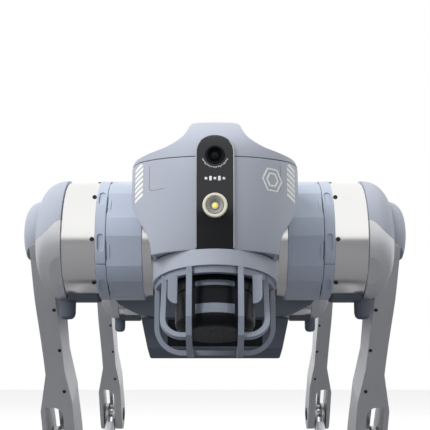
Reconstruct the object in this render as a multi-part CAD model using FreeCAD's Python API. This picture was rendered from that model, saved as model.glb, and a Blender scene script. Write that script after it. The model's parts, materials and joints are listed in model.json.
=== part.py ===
import FreeCAD, Part
import math
import os

# Quadruped robot, standing. Millimetres, +Z up, front of the robot towards -Y, its left side +X.
# The origin is on the ground, under the middle of the whole length.

V = FreeCAD.Vector

# Driving dimensions
HIP_Y = 193.4            # hip pitch axis, from the trunk's middle
ROLL_X = 46.5            # roll axis of a leg, from the centre plane
LEG_X = 142.0            # plane of a leg, from the centre plane
THIGH = 213.0            # hip axis to knee axis
CALF = 213.0             # knee axis to the foot's centre
FOOT_R = 22.0
LEAN = math.degrees(0.65)                 # the thigh leans back and the calf forward
MOTOR_R = 46.0           # radius of the leg's motor cans
GAP = 0.3                # between pieces that turn against each other
FIT = 0.06               # radial play of a running pin

# Leg, outwards along X
CAN_IN = 40.0            # inner end of the hip motor
CAN_OUT = 55.0
JOINT_X = 82.0           # the thigh turns against the hip in this plane
CASE_IN = 90.0
CASE_OUT = 116.0
ARM_IN = 128.0           # the thigh arm's cheeks
ARM_OUT = 144.5
SLOT_IN = 133.0          # the calf's slot between the cheeks
SLOT_OUT = 148.2
COVER_OUT = 151.0
CAP_WALL = 2.5
KNEE_IN = 124.0
KNEE_OUT = 152.5
AXLE_R = 4.2             # knee axle
CRANK = 11.0             # throw of the knee linkage
LINK_ANGLE = 27.5        # the crank's angle above the thigh's normal, at rest

# Trunk
TRUNK_Y = -4.5           # the trunk's middle, because the rear knees reach further than the head
BULKHEAD_Y = 141.0       # outer face of the end housings
WAIST_Y = 86.0           # the waist runs between the end housings
HOUSING_R = 59.0         # the end housings' rounded sides, about the roll axes
WAIST_X = 60.0
WAIST_Z = 46.0
NECK_X = 9.5             # half width of the neck between the rolling hips
NECK_LOW = -34.0
NECK_TOP = 36.0
BACK_Z = 65.0            # top of the back

# Head
HEAD_BACK = 243.5
HEAD_MID = 250.0         # the face curves round this line
HEAD_A = 61.5            # half width of the face's curve
SKIN = 3.0
LIDAR_Y = -289.0
LIDAR_Z = -48.0
LIDAR_TILT = 15.0
ROTOR_R = 27.0

HIP_Z = 2 * THIGH * math.cos(math.radians(LEAN)) + FOOT_R
LEGS = (("front_left", 1, -1), ("front_right", -1, -1), ("rear_left", 1, 1), ("rear_right", -1, 1))
X_AXIS = V(1, 0, 0)
Y_AXIS = V(0, 1, 0)
Z_AXIS = V(0, 0, 1)


# ---------------------------------------------------------------- shape helpers

def block(x0, x1, y0, y1, z0, z1):
    return Part.makeBox(x1 - x0, y1 - y0, z1 - z0, V(x0, y0, z0))


def rod_x(r, x0, x1, y=0.0, z=0.0):
    return Part.makeCylinder(r, x1 - x0, V(x0, y, z), X_AXIS)


def rod_y(r, y0, y1, x=0.0, z=0.0):
    return Part.makeCylinder(r, y1 - y0, V(x, y0, z), Y_AXIS)


def rod_z(r, z0, z1, x=0.0, y=0.0):
    return Part.makeCylinder(r, z1 - z0, V(x, y, z0), Z_AXIS)


def fused(shapes):
    shapes = list(shapes)
    return shapes[0].multiFuse(shapes[1:]).removeSplitter()


def in_plane(axis, a, b):
    """A point of a section across the axis: (y, z) for x, (x, z) for y, (x, y) for z."""
    return {"x": V(0, a, b), "y": V(a, 0, b), "z": V(a, b, 0)}[axis]


def line(axis, first, last):
    return Part.makeLine(in_plane(axis, *first), in_plane(axis, *last))


def curve(axis, points):
    spline = Part.BSplineCurve()
    spline.interpolate([in_plane(axis, *point) for point in points])
    return spline.toShape()


def extruded(edges, axis, low, high):
    """Extrude a closed outline along an axis, from low to high."""
    direction = {"x": X_AXIS, "y": Y_AXIS, "z": Z_AXIS}[axis]
    face = Part.Face(Part.Wire(Part.__sortEdges__(edges)))
    return face.extrude(direction * (high - low)).translated(direction * low)


def prism(points, axis, low, high):
    ends = points[1:] + points[:1]
    return extruded([line(axis, a, b) for a, b in zip(points, ends)], axis, low, high)


def lathe_x(points, smooth=()):
    """Turn an (x, r) outline about the X axis; smooth names the runs of points joined by a curve."""
    edges = []
    index = 0
    runs = dict(smooth)
    while index < len(points) - 1:
        last = runs.get(index, index + 1)
        run = [V(x, 0, r) for x, r in points[index:last + 1]]
        if last > index + 1:
            spline = Part.BSplineCurve()
            spline.interpolate(run)
            edges.append(spline.toShape())
        else:
            edges.append(Part.makeLine(run[0], run[1]))
        index = last
    edges.append(Part.makeLine(V(points[-1][0], 0, points[-1][1]), V(points[0][0], 0, points[0][1])))
    return Part.Face(Part.Wire(edges)).revolve(V(0, 0, 0), X_AXIS, 360)


def tilted(shape, angle, y=0.0, z=0.0):
    """Turn a shape about a line along X; a positive angle swings a hanging piece back."""
    return shape.rotated(V(0, y, z), X_AXIS, angle)


def softened(shape, radius, keep):
    """Round the edges whose middle passes the test keep(point, edge)."""
    edges = [e for e in shape.Edges if keep(e.BoundBox.Center, e)]
    return shape.makeFillet(radius, edges) if edges else shape


# ---------------------------------------------------------------- leg, about its own pitch axis

def hip_motor():
    bevel = 8.0
    return lathe_x([(CAN_IN, 0), (CAN_IN, MOTOR_R - bevel), (CAN_IN + bevel, MOTOR_R),
                    (CAN_OUT, MOTOR_R), (CAN_OUT, 0)])


def hip_housing():
    """Faceted barrel round the inner motor, with the flange of the roll joint behind it."""
    flat, corner, turn = 46.2, 47.6, -17.0
    flange_r, flange_y = 34.0, HIP_Y - BULKHEAD_Y - GAP
    facets = prism([(flat / math.cos(math.pi / 8) * math.cos(math.radians(22.5 + 45 * k - turn)),
                     flat / math.cos(math.pi / 8) * math.sin(math.radians(22.5 + 45 * k - turn)))
                    for k in range(8)], "x", CAN_OUT, JOINT_X - GAP)
    barrel = facets.common(rod_x(corner, CAN_OUT, JOINT_X - GAP))
    lip = rod_x(MOTOR_R + 0.6, JOINT_X - 3, JOINT_X - GAP)
    flange = rod_y(flange_r, flange_y - 26, flange_y, ROLL_X)
    flange = flange.cut(rod_x(MOTOR_R, CAN_IN - 30, CAN_OUT)).common(block(0, JOINT_X - GAP, 0, 60, -60, 60))
    return fused([barrel, lip, flange])


def thigh_collar():
    """Ring on the thigh's side of the joint, with oval dimples and a split line."""
    radius = MOTOR_R + 1.4
    ring = rod_x(radius, JOINT_X, CASE_IN).cut(rod_x(20, JOINT_X, CASE_IN))
    ring = softened(ring, 0.8, lambda c, e: abs(e.BoundBox.ZLength - 2 * radius) < 0.1 and c.x < JOINT_X + 1)
    depth, middle = 1.2, (JOINT_X + CASE_IN) / 2
    for k in range(8):
        dimple = fused([rod_z(2.4, radius - depth, radius + 5, middle, -4),
                        rod_z(2.4, radius - depth, radius + 5, middle, 4),
                        block(middle - 2.4, middle + 2.4, -4, 4, radius - depth, radius + 5)])
        ring = ring.cut(tilted(dimple, 90 + 54 + 45 * k))
    split = block(JOINT_X, CASE_IN, -60, -40.2, -23.9, -22.9)
    return ring.cut(split)


def thigh_motor_case():
    case = lathe_x([(CASE_IN, 8 + GAP), (CASE_IN, MOTOR_R), (CASE_OUT, MOTOR_R), (CASE_OUT, 8 + GAP)])
    return softened(case, 0.8, lambda c, e: c.x > CASE_OUT - 1 and e.BoundBox.ZLength > 80)


def cap_form(inset):
    """The rounded cap over the hip's outer end, and its smaller outer bulge."""
    dome = lathe_x([(CASE_OUT, 0), (CASE_OUT, 47.6 - inset), (121, 47.2 - inset), (127, 45.2 - inset),
                    (132.5, 40.5 - inset), (137 - inset, 33.0 - inset), (139 - inset, 25.0 - inset),
                    (139.5 - inset, 0)], [(1, 6)])
    bulge = lathe_x([(CASE_OUT, 0), (CASE_OUT, 27.5 - inset), (138, 26.8 - inset), (145, 24.5 - inset),
                     (149 - inset, 19 - inset), (COVER_OUT - 0.4 - inset, 10.5 - inset / 2),
                     (COVER_OUT - inset, 0)], [(2, 6)])
    return dome.fuse(bulge.translated(V(0, 1, 4.5)))


def cover_region():
    """Space above the cap's wavy lower edge, which drops towards the outer side and the back."""
    wave = [(CASE_OUT - 1, 3.5), (121, 1), (127, -4.5), (134, -8), (141, -9), (146, -12), (COVER_OUT + 1, -19)]
    top, slope = 70, 8.0
    inner, outer = (wave[0][0], top), (wave[-1][0], top)
    edges = [curve("y", wave), line("y", wave[0], inner), line("y", inner, outer), line("y", outer, wave[-1])]
    return tilted(extruded(edges, "y", -70, 70), -slope)


def arm_way(grow):
    """Where the arm leaves the cap: its own outline from a little below the hip axis."""
    arm = extruded(arm_outline(grow), "x", ARM_IN - grow, ARM_OUT + grow)
    return tilted(arm.common(block(ARM_IN - 1, ARM_OUT + 1, -60, 60, -THIGH, -15)), LEAN)


def thigh_cover():
    return cap_form(0).cut(cap_form(CAP_WALL)).common(cover_region()).cut(arm_way(0.2))


def arm_outline(grow=0.0):
    """Side outline of the thigh arm, hanging straight down from the hip axis."""
    half = [(21, 8), (22, -15), (23, -40), (20.5, -65), (17, -100), (15.8, -135), (16, -165),
            (19, -195), (19.8, -THIGH)]
    right = [(a + grow, b) for a, b in half]
    left = [(-a - grow, b) for a, b in half]
    foot = Part.Arc(V(0, right[-1][0], -THIGH), V(0, 0, -THIGH - right[-1][0]), V(0, left[-1][0], -THIGH))
    return [curve("x", right), curve("x", left), foot.toShape(), line("x", left[0], right[0])]


def thigh_link():
    """Machined arm: hub under the cap, hollow arm for the linkage rod, and the forked knee."""
    arm = tilted(extruded(arm_outline(), "x", ARM_IN, ARM_OUT), LEAN)
    flare = [(ARM_IN, -THIGH + 95), (KNEE_IN, -THIGH + 58), (KNEE_IN, -THIGH - 40), (KNEE_OUT, -THIGH - 40),
             (KNEE_OUT, -THIGH + 50), (ARM_OUT, -THIGH + 90)]
    knee = extruded(arm_outline(), "x", KNEE_IN, KNEE_OUT).common(prism(flare, "y", -40, 40))
    hub = cap_form(0).common(tilted(block(CASE_OUT, ARM_OUT, -46, 46, -60, 60), LEAN))
    capped = cover_region().cut(arm_way(0))
    body = fused([arm, tilted(knee, LEAN), hub])
    body = fused([body.cut(capped), body.common(cap_form(CAP_WALL)).common(capped)])
    slot_top = 54.0
    slot = extruded([line("y", (SLOT_IN, -THIGH - 45), (SLOT_OUT, -THIGH - 45)),
                     line("y", (SLOT_OUT, -THIGH - 45), (SLOT_OUT, -THIGH + slot_top)),
                     line("y", (SLOT_OUT, -THIGH + slot_top), (SLOT_IN + 9, -THIGH + slot_top)),
                     Part.Arc(V(SLOT_IN + 9, 0, -THIGH + slot_top), V(SLOT_IN + 2.64, 0, -THIGH + slot_top - 2.64),
                              V(SLOT_IN, 0, -THIGH + slot_top - 9)).toShape(),
                     line("y", (SLOT_IN, -THIGH + slot_top - 9), (SLOT_IN, -THIGH - 45))], "y", -60, 60)
    channel = block(SLOT_IN, 143.0, 2.6, CRANK + 2.4, -THIGH, 10)
    crank_pocket = rod_x(CRANK + 8, SLOT_IN - 3, 143.2)
    shaft_way = rod_x(8 + GAP, CASE_OUT - 1, SLOT_IN)
    knee_bore = rod_x(AXLE_R + FIT, KNEE_IN + 1.5, KNEE_OUT - 1.5, 0, -THIGH)
    for tool in (slot, channel, knee_bore):
        body = body.cut(tilted(tool, LEAN))
    return body.cut(crank_pocket).cut(shaft_way)


def on_crank(angle, y=0.0, z=0.0):
    """Centre of the pin at the end of a crank arm; the angle is from the thigh's normal."""
    turn = math.radians(angle)
    return y + CRANK * math.cos(turn), z + CRANK * math.sin(turn)


def knee_crank():
    """Output crank of the calf motor, on the hip axis."""
    pin_y, pin_z = on_crank(LINK_ANGLE)
    hub = rod_x(10, SLOT_IN - 2, 137.6)
    web = rod_x(5.2, SLOT_IN - 2, 137.6, pin_y, pin_z)
    shaft = rod_x(8, CASE_IN + 4, SLOT_IN - 2)
    pin = rod_x(2.6, 137.6, 142.6, pin_y, pin_z)
    return tilted(fused([hub, web, shaft, pin]), LEAN)


def knee_rod():
    top_y, top_z = on_crank(LINK_ANGLE)
    low_y, low_z = on_crank(LINK_ANGLE, 0, -THIGH)
    eyes = [rod_x(4.4, 138.0, 142.2, top_y, top_z), rod_x(4.4, 138.0, 142.2, low_y, low_z)]
    bar = block(138.0, 142.2, top_y - 1.6, top_y + 1.6, low_z, top_z)
    body = fused(eyes + [bar])
    body = body.cut(rod_x(2.6 + FIT, 137, 143, top_y, top_z)).cut(rod_x(2.2 + GAP, 137, 143, low_y, low_z))
    return tilted(body, LEAN)


def calf_outline():
    """Side outline of the calf below the knee, with the foot straight below the knee axis."""
    front = [(-10, -6), (-5, -28), (-2, -55), (-5, -95), (-10, -140), (-9, -178), (-6.5, -CALF + 6)]
    back = [(13, -6), (15, -28), (14, -55), (11, -95), (6, -140), (5, -178), (6.5, -CALF + 6)]
    return [curve("x", front), curve("x", back), line("x", front[0], back[0]), line("x", front[-1], back[-1])]


def calf_link():
    """Slim calf with two discs at the knee, its axle, and the pin that the linkage rod pulls."""
    x0, x1 = SLOT_IN + 1.2, SLOT_OUT - 1.2
    shank = extruded(calf_outline(), "x", x0, x1)
    shank = softened(shank, 4.0, lambda c, e: e.BoundBox.ZLength > 150)
    discs = rod_x(14.5, x0, x1)
    middle = 140.1
    relief = rod_x(18.5, middle - 2.7, middle + 2.7)
    pin_y, pin_z = on_crank(LINK_ANGLE + LEAN)
    pin = rod_x(2.2, middle - 3, middle + 3, pin_y, pin_z)
    axle = rod_x(AXLE_R, KNEE_IN + 2, KNEE_OUT - 2)
    body = tilted(shank, -LEAN).fuse(discs).cut(relief)
    return knee_placed(fused([body, pin, axle]))


def foot():
    ball = Part.makeSphere(FOOT_R, V(LEG_X, 0, -CALF))
    neck = Part.makeCone(13, 10, 22, V(LEG_X, 0, -CALF + 14), Z_AXIS)
    body = ball.fuse(neck).removeSplitter()
    body = softened(body, 5.0, lambda c, e: abs(c.z + CALF - 17) < 6 and e.BoundBox.XLength > 20)
    return knee_placed(tilted(body, -LEAN)).cut(calf_link())


def knee_placed(shape):
    swing = math.radians(LEAN)
    return shape.translated(V(0, THIGH * math.sin(swing), -THIGH * math.cos(swing)))


# ---------------------------------------------------------------- trunk, about the hip axes' height

def stadium(radius, y0, y1):
    sides = [rod_y(radius, y0, y1, ROLL_X), rod_y(radius, y0, y1, -ROLL_X)]
    return fused(sides + [block(-ROLL_X, ROLL_X, y0, y1, -radius, radius)])


def four_motors(radius, length):
    """One can for each roll joint, behind its bulkhead."""
    cans = []
    for side in (-1, 1):
        cans.append(rod_y(radius, BULKHEAD_Y - length, BULKHEAD_Y - 2, side * ROLL_X))
        cans.append(rod_y(radius, -BULKHEAD_Y + 2, -BULKHEAD_Y + length, side * ROLL_X))
    return cans


def abduction_motors():
    nose_r = 28.0
    motors = []
    for can in four_motors(43.0, 50.0):
        centre = can.BoundBox.Center
        end = math.copysign(1, centre.y)
        nose = rod_y(nose_r, 0, 2, centre.x).translated(V(0, (BULKHEAD_Y - 2) if end > 0 else -BULKHEAD_Y, 0))
        motors.append(can.fuse(nose).removeSplitter())
    return Part.makeCompound(motors)


def trunk_frame():
    """Waist tube round the battery bay, two end housings, and the neck and tail webs."""
    ends = [stadium(HOUSING_R, WAIST_Y, BULKHEAD_Y), stadium(HOUSING_R, -BULKHEAD_Y, -WAIST_Y)]
    waist = block(-WAIST_X, WAIST_X, -WAIST_Y, WAIST_Y, -WAIST_Z, WAIST_Z)
    bay = block(-WAIST_X + 6, WAIST_X, -73, 73, -41, 41)
    neck = block(-NECK_X, NECK_X, -HEAD_MID, -BULKHEAD_Y, NECK_LOW, NECK_TOP)
    plate = block(-36, 36, -HEAD_MID - 4, -HEAD_MID, -22, 40)
    tail = block(-NECK_X, NECK_X, BULKHEAD_Y, 226, -30, 40)
    body = fused(ends + [waist, neck, plate, tail])
    hollow = [rod_y(36, WAIST_Y + 4, BULKHEAD_Y - 50, 0, 0), rod_y(36, -BULKHEAD_Y + 50, -WAIST_Y - 4, 0, 0)]
    tools = [bay] + four_motors(43.0, 50.0) + hollow
    for side in (-1, 1):
        tools.append(rod_y(28, BULKHEAD_Y - 3, BULKHEAD_Y, side * ROLL_X))
        tools.append(rod_y(28, -BULKHEAD_Y, -BULKHEAD_Y + 3, side * ROLL_X))
    return body.cut(Part.makeCompound(tools))


def back_section(inset, y0, y1):
    """Long top cover: shoulders that meet the waist, and a flat back."""
    points = [(-WAIST_X - 1 + inset, 44), (-WAIST_X - 1 + inset, 50 - inset), (-46, BACK_Z - inset),
              (46, BACK_Z - inset), (WAIST_X + 1 - inset, 50 - inset), (WAIST_X + 1 - inset, 44)]
    return prism(points, "y", y0, y1)


def back_cover():
    wall = 3.0
    length = BULKHEAD_Y - 1
    outer = back_section(0, -length, length)
    outer = softened(outer, 5.0, lambda c, e: e.BoundBox.YLength > 200 and c.z > 46)
    outer = softened(outer, 3.0, lambda c, e: abs(abs(c.y) - length) < 0.5 and c.z > 60)
    inner = back_section(wall, -length + wall, length - wall)
    spine = prism([(-28, 60.2), (-24, BACK_Z), (24, BACK_Z), (28, 60.2)], "y", -HEAD_BACK + GAP, 236)
    spine = spine.cut(block(-40, 40, -length + wall, length - wall, 50, 80))
    drop = prism([(-NECK_X - 3, 40.5), (-20, 62), (20, 62), (NECK_X + 3, 40.5)], "y", 228, 236)
    ends = stadium(HOUSING_R, WAIST_Y - 0.2, BULKHEAD_Y + 5).fuse(stadium(HOUSING_R, -BULKHEAD_Y - 5, -WAIST_Y + 0.2))
    waist = block(-WAIST_X, WAIST_X, -WAIST_Y - 1, WAIST_Y + 1, 0, WAIST_Z)
    screws = [rod_z(1.6, 40, 80, x, y) for x, y in rail_holes()]
    cover = fused([outer.cut(inner), spine, drop]).cut(ends).cut(waist)
    return cover.cut(Part.makeCompound(screws + screw_seats()))


def belly_cover():
    """Lower cover with the deeper pod behind the lidar."""
    top, low = -WAIST_Z, -66.0
    pan = prism([(-WAIST_X - 1, -44), (-WAIST_X - 1, -52), (-48, low), (48, low), (WAIST_X + 1, -52),
                 (WAIST_X + 1, -44)], "y", -BULKHEAD_Y - 3, BULKHEAD_Y - 1)
    pod_side = prism([(-BULKHEAD_Y - 3, -59), (-BULKHEAD_Y - 3, -85), (-BULKHEAD_Y + 6, -93.5), (-78, -93.5),
                      (-40, low), (-40, -59)], "x", -70, 70)
    pod_front = prism([(-62, -58), (-62, -62), (-55, -93.6), (55, -93.6), (62, -62), (62, -58)], "y", -150, 150)
    pod = pod_side.common(pod_front)
    ends = stadium(HOUSING_R, WAIST_Y - 0.2, BULKHEAD_Y + 5).fuse(stadium(HOUSING_R, -BULKHEAD_Y, -WAIST_Y + 0.2))
    waist = block(-WAIST_X, WAIST_X, -WAIST_Y - 1, WAIST_Y + 1, top, 0)
    swing = block(-80, 80, -BULKHEAD_Y - 20, -BULKHEAD_Y, -60, -40)
    inner = block(-44, 44, -WAIST_Y + 4, WAIST_Y - 4, low + 3, top)
    body = pan.fuse(pod).cut(ends).cut(waist).cut(swing).cut(inner)
    return softened(body.removeSplitter(), 2.0, lambda c, e: e.BoundBox.YLength > 20 and c.z < -80)


def rail_holes():
    return [(sx * 41, sy * 75) for sx in (-1, 1) for sy in (-1, 1)]


def payload_rails():
    """Two rails on the back, each with two tapped holes."""
    rails = []
    for side in (-1, 1):
        rail = block(side * 41 - 5, side * 41 + 5, -90, 90, BACK_Z, BACK_Z + 6)
        rail = softened(rail, 1.5, lambda c, e: c.z > BACK_Z + 5)
        rails.append(rail)
    holes = [rod_z(1.6, BACK_Z - 2, BACK_Z + 8, x, y) for x, y in rail_holes()]
    return Part.makeCompound([rail.cut(Part.makeCompound(holes)) for rail in rails])


def battery_pack():
    """Pack that slides out of the left side, with its end cap and a recessed grip."""
    pack = block(-WAIST_X + 8, WAIST_X - 1, -71, 71, -39, 39)
    pack = softened(pack, 4.0, lambda c, e: e.BoundBox.XLength > 100)
    cap = softened(block(WAIST_X - 1, WAIST_X + 5, -72.4, 72.4, -40.4, 40.4), 2.0, lambda c, e: c.x > WAIST_X + 2)
    grip = block(WAIST_X - 6, WAIST_X + 6, -30, 30, -30, -16)
    body = pack.fuse(cap).removeSplitter().cut(grip)
    return body.cut(rod_x(8 + GAP, WAIST_X - 1, WAIST_X + 6, 0, 12))


def power_button():
    button = rod_x(8, WAIST_X + 1.5, WAIST_X + 6.4, 0, 12)
    return softened(button, 1.0, lambda c, e: c.x > WAIST_X + 6)


def main_board():
    """Computer board in the back, with its heat sink."""
    board = block(-46, 46, -70, 70, WAIST_Z, WAIST_Z + 1.6)
    sink = block(-25, 25, -40, 10, WAIST_Z + 1.6, WAIST_Z + 5)
    fins = [block(-25, 25, -40 + 6 * k, -37.5 + 6 * k, WAIST_Z + 5, WAIST_Z + 13) for k in range(9)]
    ports = block(-40, 40, 50, 62, WAIST_Z + 1.6, WAIST_Z + 9)
    return fused([board, sink, ports] + fins)


def screw_places():
    return [(sx * 22, sy * y) for sx in (-1, 1) for sy in (-1, 1) for y in (60, 118)]


def screw_seats():
    return [rod_z(3.4, BACK_Z - 2, BACK_Z + 1, x, y) for x, y in screw_places()]


def trunk_screws():
    """Cover screws of the back, with hex sockets."""
    screws = []
    for x, y in screw_places():
        head = rod_z(3.2, BACK_Z - 2, BACK_Z - 0.2, x, y)
        corners = [(x + 1.5 * math.cos(math.radians(60 * k)), y + 1.5 * math.sin(math.radians(60 * k)))
                   for k in range(6)]
        screws.append(head.cut(prism(corners, "z", BACK_Z - 1.4, BACK_Z)))
    return Part.makeCompound(screws)


def tail_cover():
    """Narrow rear cover between the rear hips, with two port recesses."""
    side = [(BULKHEAD_Y + 1, -34), (222, -34), (236, -22), (238, 40), (BULKHEAD_Y + 1, 40)]
    outer = prism(side, "x", -NECK_X - 2.2, NECK_X + 2.2)
    outer = softened(outer, 2.0, lambda c, e: c.y > 225 and e.BoundBox.XLength < 1)
    ports = [block(-5, 5, 230, 240, z, z + 5) for z in (-6, 8)]
    web = block(-NECK_X, NECK_X, BULKHEAD_Y, 226, -30, 40)
    return outer.cut(web).cut(Part.makeCompound(ports))


# ---------------------------------------------------------------- head

def face_curve(front, half_width, z):
    """Level section of the face: half an ellipse, closed by a straight back."""
    count = 12
    depth = front - HEAD_MID
    points = [V(half_width * math.cos(math.pi * k / count),
                -HEAD_MID - depth * math.sin(math.pi * k / count), z) for k in range(count + 1)]
    spline = Part.BSplineCurve()
    spline.interpolate(points)
    return Part.Wire([spline.toShape(), Part.makeLine(points[-1], points[0])])


def front_outline(grow):
    """Front outline of the head: narrow chin, wide cheeks, and hollow shoulders up to the crown."""
    cheek = [(42.6, -30), (43, -24), (44.6, -14), (50, -3), (56.5, 8), (60, 19)]
    shoulder = [(60, 39), (57.8, 44.4), (50, 45.6), (42, 46.2), (34, 47.4), (27.5, 50), (22, 54), (19, 59),
                (17.4, 64.5)]
    cheek = [(x + grow, z) for x, z in cheek]
    shoulder = [(x + grow, z + grow) for x, z in shoulder]
    crown = [shoulder[-1], (15.6 + grow, 68.3 + grow), (12, 70 + grow), (-12, 70 + grow),
             (-15.6 - grow, 68.3 + grow), (-shoulder[-1][0], shoulder[-1][1])]
    edges = [curve("y", cheek), curve("y", [(-x, z) for x, z in cheek]),
             curve("y", shoulder), curve("y", [(-x, z) for x, z in shoulder])]
    for sign in (-1, 1):
        edges.append(line("y", (sign * cheek[-1][0], cheek[-1][1]), (sign * shoulder[0][0], shoulder[0][1])))
    edges += [line("y", a, b) for a, b in zip(crown, crown[1:])]
    edges.append(line("y", cheek[0], (-cheek[0][0], cheek[0][1])))
    return edges


def head_form(grow=0.0):
    fronts = [(-30, 322), (-12, 328), (4, 330.5), (20, 331.5), (38, 330.5), (50, 326.5), (59, 318),
              (66, 306), (74, 283)]
    levels = [face_curve(front + grow, HEAD_A + grow, z) for z, front in fronts]
    loft = Part.makeLoft(levels, True, False)
    return loft.common(extruded(front_outline(grow), "y", -340, -HEAD_MID)).fuse(
        extruded(front_outline(grow), "y", -HEAD_MID, -HEAD_BACK + grow)).removeSplitter()


def neck_way(y0):
    """Space in the head's pieces for the trunk's neck."""
    return block(-NECK_X - GAP, NECK_X + GAP, y0, -BULKHEAD_Y, NECK_LOW, NECK_TOP + GAP)


def head_shell():
    neck = neck_way(-HEAD_MID)
    opening = block(-40, 40, -300, -HEAD_MID - 4, -32, -20)
    return head_form(0).cut(head_form(-SKIN)).cut(neck).cut(opening)


def above_seam(lift):
    """Everything above the seam between the face and the crown, which rises to the back."""
    return prism([(-345, 36.6 + lift), (-290, 42.2 + lift), (-230, 43.4 + lift), (-230, 90), (-345, 90)], "x", -80, 80)


def strip(half_width):
    """Upright strip with a round top, for the window and its seat."""
    top = 41.2
    column = block(-half_width, half_width, -345, -300, -25, top)
    return column.fuse(rod_y(half_width, -345, -300, 0, top))


def under_face():
    """Everything below the seam between the face and the chin rim, which drops to the back."""
    return prism([(-345, -21.6), (-230, -28.2), (-230, -60), (-345, -60)], "x", -80, 80)


def head_crown():
    return head_shell().common(above_seam(0.25)).cut(strip(12.6))


def head_face_shell():
    return head_shell().cut(above_seam(-0.25)).cut(strip(12.6)).cut(under_face())


def face_window():
    body = head_form(1.2).cut(head_form(-SKIN)).common(strip(12.0)).cut(under_face())
    return body.cut(rod_y(6.4, -345, -300, 0, 38.6)).cut(rod_y(8.2, -345, -300, 0, 5.2))


def head_camera():
    """Wide-angle camera behind the window: barrel, stepped bezel and a domed lens."""
    barrel = rod_y(6.3, -331.6, -312, 0, 38.6)
    bezel = Part.makeCone(5.4, 3.9, 2.2, V(0, -331.7, 38.6), Y_AXIS)
    lens = Part.makeSphere(5.0, V(0, -325.6, 38.6)).common(rod_y(3.8, -331.5, -325, 0, 38.6))
    board = block(-12, 12, -312, -309, 28, 46)
    return fused([barrel.cut(bezel).cut(rod_y(3.9, -331.6, -326, 0, 38.6)), lens, board])


def head_lamp():
    """Lamp: outer ring, deep bowl and the light in the middle."""
    ring = rod_y(8.1, -333.2, -318, 0, 5.2)
    bowl = Part.makeCone(6.4, 3.0, 5.0, V(0, -333.3, 5.2), Y_AXIS)
    light = rod_y(2.3, -330.2, -327, 0, 5.2)
    body = ring.cut(bowl).cut(rod_y(3.0, -329.3, -327.5, 0, 5.2)).fuse(light).removeSplitter()
    return softened(body, 0.8, lambda c, e: c.y < -333 and e.BoundBox.XLength > 14)


def under_rim(drop=0.0):
    """Everything below the chin rim's lower edge."""
    return prism([(-345, -31 - drop), (-240, -42.5 - drop), (-240, -110), (-345, -110)], "x", -80, 80)


def chin_rim():
    """Band under the face; both its edges drop towards the sides and the back."""
    front, half_width, wall = 327.5, 45.0, 4.0
    outer = Part.Face(face_curve(front, half_width, -52)).extrude(V(0, 0, 40))
    inner = Part.Face(face_curve(front - wall, half_width - wall, -53)).extrude(V(0, 0, 42))
    neck = neck_way(-HEAD_MID - 5)
    back = block(-half_width, half_width, -HEAD_MID - 3, -HEAD_BACK, -44, -15)
    band = outer.cut(inner).fuse(back).common(under_face()).cut(under_rim())
    return band.cut(neck).removeSplitter()


def lidar_placed(shape):
    """The scanner's lower end points down and a little forward."""
    return shape.rotated(V(0, 0, 0), X_AXIS, -LIDAR_TILT).translated(V(0, LIDAR_Y, LIDAR_Z))


def lidar_rotor():
    """Spinning scanner barrel with a rounded lower end and a scan window groove."""
    body = rod_z(ROTOR_R, -30, 8)
    body = softened(body, 8.0, lambda c, e: c.z < -29 and e.BoundBox.XLength > 50)
    groove = rod_z(ROTOR_R + 2, -6, -4).cut(rod_z(ROTOR_R - 0.8, -7, -3))
    return lidar_placed(body.cut(groove))


def lidar_base():
    body = rod_z(22, 8 + GAP, 22)
    bracket = block(-18, 18, -HEAD_MID - 30, -HEAD_MID - 4, -33, -19)
    return lidar_placed(body).fuse(bracket).removeSplitter()


def hoop(half_width, low, corner, width, y0, y1):
    """Flat bar bent to a U that hangs under the rim."""
    outer = block(-half_width, half_width, y0, y1, low, 0)
    inner = block(-half_width + width, half_width - width, y0 - 1, y1 + 1, low + width, 1)
    outer = softened(outer, corner, lambda c, e: c.z < low + 1 and e.BoundBox.XLength < 1)
    inner = softened(inner, corner - width, lambda c, e: c.z < low + width + 1 and e.BoundBox.XLength < 1)
    return outer.cut(inner)


def lidar_guard():
    """Cage round the scanner: a bar inside the rim, two hoops and two upright fins."""
    outside = Part.Face(face_curve(325.5, 43, -60)).extrude(V(0, 0, 45))
    inside = Part.Face(face_curve(320.5, 38, -61)).extrude(V(0, 0, 47))
    bar = outside.cut(inside).cut(under_rim(4.5)).cut(block(-60, 60, -262, -240, -70, 0))
    rear_hoop = hoop(43, -91, 20, 3.6, -264, -259)
    front_hoop = tilted(hoop(36, -87.5, 15, 3.6, -298, -294.5), -33.0, -296, -42)
    edge = [(-322.5, -30), (-323.5, -38), (-327, -52), (-328.5, -66), (-325, -78), (-314, -87.5), (-297, -92),
            (-259, -92)]
    inner_edge = [(-259, -86.5), (-296, -86.5), (-310.5, -82), (-319.5, -74.5), (-322.5, -65), (-321, -53),
                  (-317.5, -39), (-316, -30)]
    fins = [prism(edge + inner_edge, "x", x - 1.9, x + 1.9) for x in (-16.8, 16.8)]
    between = block(-15, 15, -340, -300, -100, -50)
    cage = fused([bar, rear_hoop, front_hoop.cut(between)] + fins)
    return cage.common(under_rim()).removeSplitter()


def head_speaker():
    """Loudspeaker inside the head, behind the cheek."""
    magnet = rod_y(9, -284, -276, 30, 20)
    basket = Part.makeCone(14, 9, 8, V(30, -292, 20), Y_AXIS)
    return magnet.fuse(basket).removeSplitter()


# ---------------------------------------------------------------- export

def save(name, shape, side=1, y=0.0):
    if side < 0:
        shape = shape.mirror(V(0, 0, 0), X_AXIS)
    shape = shape.translated(V(0, y + TRUNK_Y, HIP_Z))
    solids = shape.Solids
    whole = solids[0] if len(solids) == 1 else Part.makeCompound(solids)
    whole.exportStep(os.path.join("parts", name + ".step"))
    state = "ok" if all(s.isValid() and s.isClosed() for s in solids) else "INVALID"
    print("%-28s %d solid(s) %9.1f mm3 %s" % (name, len(solids), whole.Volume, state))


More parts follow.
